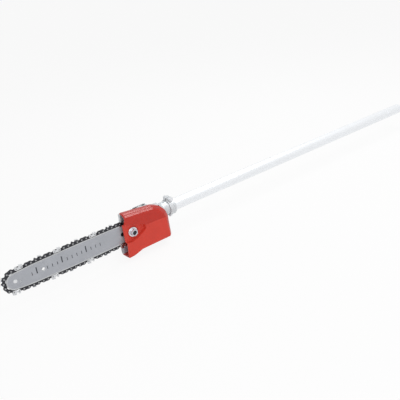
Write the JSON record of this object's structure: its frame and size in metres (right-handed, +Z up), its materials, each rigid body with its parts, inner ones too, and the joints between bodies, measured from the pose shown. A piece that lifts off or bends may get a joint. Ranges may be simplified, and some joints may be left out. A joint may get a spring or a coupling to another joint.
{
  "type": "pole saw attachment",
  "caption": "Pole saw head on a plain round pole: guide bar with saw chain, red sprocket cover, bevel gearcase, oil tank and a drive shaft inside the pole.",
  "frame": {"origin": "on the pole's axis at its drive end, where a power unit's coupler takes it", "axes": "+X along the pole towards the power unit, bar nose towards -X; +Z up, with bar and chain upright; the sprocket cover faces -Y"},
  "size_m": [1.2243, 0.0782, 0.0977],
  "materials": {
    "pole": "satin clear anodised",
    "casting": "fine blasted die casting",
    "cover": "gloss red",
    "bar": "satin blue-grey enamel",
    "edge_steel": "ground",
    "chain_dark": "blued, oiled",
    "cutter": "hard chrome",
    "zinc": "bright zinc plate",
    "black_screw": "black oxide",
    "tank": "smoky translucent",
    "black_plastic": "fine grain",
    "rubber": "matte",
    "brass": "machined",
    "gasket": "pressed fibre"
  },
  "bodies": {
    "head": {"bar_plate": "black_screw", "bar_stud": "black_screw", "cap_screw_1": "zinc", "cap_screw_2": "zinc", "cap_screw_3": "zinc", "cap_screw_4": "zinc", "chain_cutters_far": "cutter", "chain_cutters_near": "cutter", "chain_drive_links": "chain_dark", "chain_rivets": "chain_dark", "chain_straps_far": "chain_dark", "chain_straps_near": "chain_dark", "clamp_nut": "zinc", "clamp_ring": "casting", "clamp_screw": "zinc", "end_bush": "black_plastic", "far_bearing_balls": "edge_steel", "far_bearing_outer": "edge_steel", "gearcase": "casting", "gearcase_cap": "casting", "gearcase_gasket": "gasket", "locating_screw": "zinc", "main_tube": "pole", "near_bearing_balls": "edge_steel", "near_bearing_outer": "edge_steel", "oil_filter": "edge_steel", "oil_hose": "rubber", "oil_pump": "brass", "oil_seal": "rubber", "oil_tank": "tank", "pinion_bearing_balls": "edge_steel", "pinion_bearing_outer": "edge_steel", "pinion_clip": "black_screw", "shaft_bush_1": "black_plastic", "shaft_bush_2": "black_plastic", "shaft_bush_3": "black_plastic"},
    "driveline": {"drive_shaft": "black_screw", "bevel_pinion": "edge_steel", "pinion_bearing_inner": "edge_steel"},
    "output": {"sprocket_shaft": "edge_steel", "bevel_gear": "edge_steel", "near_bearing_inner": "edge_steel", "far_bearing_inner": "edge_steel", "drive_sprocket": "black_screw", "sprocket_washer": "zinc", "e_clip": "black_screw"},
    "guide_bar": {"bar_plate_near": "bar", "bar_plate_far": "bar", "bar_core": "edge_steel", "nose_hub": "zinc", "tension_block": "black_screw"},
    "nose_wheel": {"nose_sprocket": "edge_steel"},
    "tension_screw": {"tension_screw": "zinc"},
    "cover": {"sprocket_cover": "cover", "nut_washer": "zinc"},
    "nut": {"bar_nut": "zinc"},
    "filler_seal": {"filler_seal": "rubber"},
    "filler_cap": {"filler_cap": "black_plastic"}
  },
  "joints": [
    {"name": "shaft_spin", "type": "hinge", "parent": "head", "child": "driveline", "pos_m": [0, 0, 0], "axis": [1, 0, 0], "continuous": true, "deforming": ["chain_drive_links", "chain_straps_near", "chain_straps_far", "chain_cutters_near", "chain_cutters_far", "chain_rivets"]},
    {"name": "sprocket_spin", "type": "hinge", "parent": "head", "child": "output", "pos_m": [-0.8845, 0, 0], "axis": [0, 1, 0], "continuous": true},
    {"name": "bar_tension", "type": "slide", "parent": "head", "child": "guide_bar", "axis": [1, 0, 0], "range_m": [0, 0.004], "deforming": ["chain_drive_links", "chain_straps_near", "chain_straps_far", "chain_cutters_near", "chain_cutters_far", "chain_rivets"]},
    {"name": "nose_spin", "type": "hinge", "parent": "guide_bar", "child": "nose_wheel", "pos_m": [-1.18241, -0.031, 0], "axis": [0, 1, 0], "continuous": true},
    {"name": "tension_turn", "type": "hinge", "parent": "head", "child": "tension_screw", "pos_m": [-0.94, -0.0205, -0.0115], "axis": [1, 0, 0], "range_deg": [0, 1800]},
    {"name": "cover_off", "type": "slide", "parent": "head", "child": "cover", "axis": [0, -1, 0], "range_m": [0, 0.03]},
    {"name": "nut_turn", "type": "hinge", "parent": "cover", "child": "nut", "pos_m": [-0.94, -0.045, 0], "axis": [0, -1, 0], "range_deg": [0, 8640]},
    {"name": "cap_lift", "type": "slide", "parent": "head", "child": "filler_seal", "axis": [0, 0, 1], "range_m": [0, 0.01]},
    {"name": "cap_turn", "type": "hinge", "parent": "filler_seal", "child": "filler_cap", "pos_m": [-0.932, 0.006, -0.018], "axis": [0, 0, 1], "range_deg": [0, 1200]}
  ],
  "couplings": [
    {"joint": "sprocket_spin", "follows": "shaft_spin", "ratio": -0.77778},
    {"joint": "nose_spin", "follows": "shaft_spin", "ratio": -0.77778},
    {"joint": "tension_turn", "follows": "bar_tension", "rad_per_m": 7854},
    {"joint": "nut_turn", "follows": "cover_off", "rad_per_m": 5026.5},
    {"joint": "cap_turn", "follows": "cap_lift", "rad_per_m": 2094.4}
  ]
}
